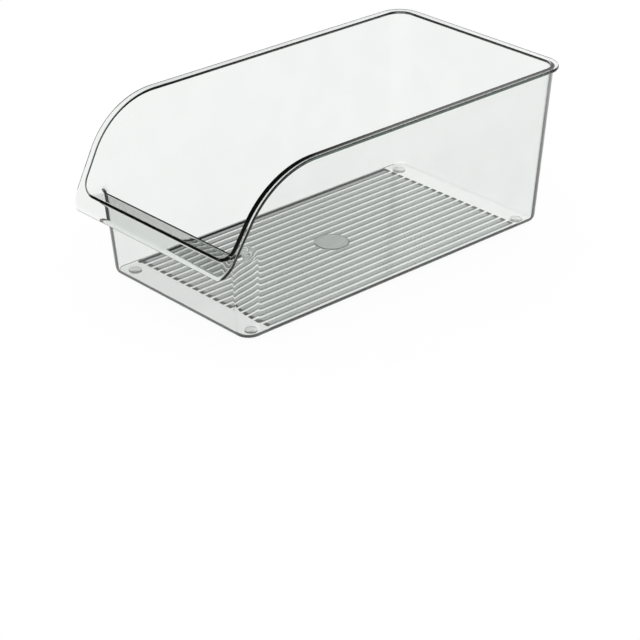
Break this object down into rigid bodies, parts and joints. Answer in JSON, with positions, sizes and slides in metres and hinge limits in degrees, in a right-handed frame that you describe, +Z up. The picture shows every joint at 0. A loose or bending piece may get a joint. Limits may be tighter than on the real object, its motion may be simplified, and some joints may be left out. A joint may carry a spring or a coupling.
{
  "type": "fridge bin",
  "caption": "Open clear plastic storage bin with a flanged rim that sweeps down to a scooped, lipped front, a ribbed floor and round bumper feet",
  "frame": {"origin": "on the surface the bin stands on, under the middle of its bounding box", "axes": "+X to the bin's right seen from behind its front lip, +Y from the scooped front to the back, +Z up"},
  "size_m": [0.166, 0.31, 0.12],
  "materials": {
    "clear_plastic": "clear polished plastic, faintly grey-green through its edges",
    "clear_bumper": "clear soft plastic"
  },
  "bodies": {
    "root": {"bin": "clear_plastic", "foot_front_left": "clear_bumper", "foot_front_right": "clear_bumper", "foot_back_left": "clear_bumper", "foot_back_right": "clear_bumper"}
  },
  "joints": []
}
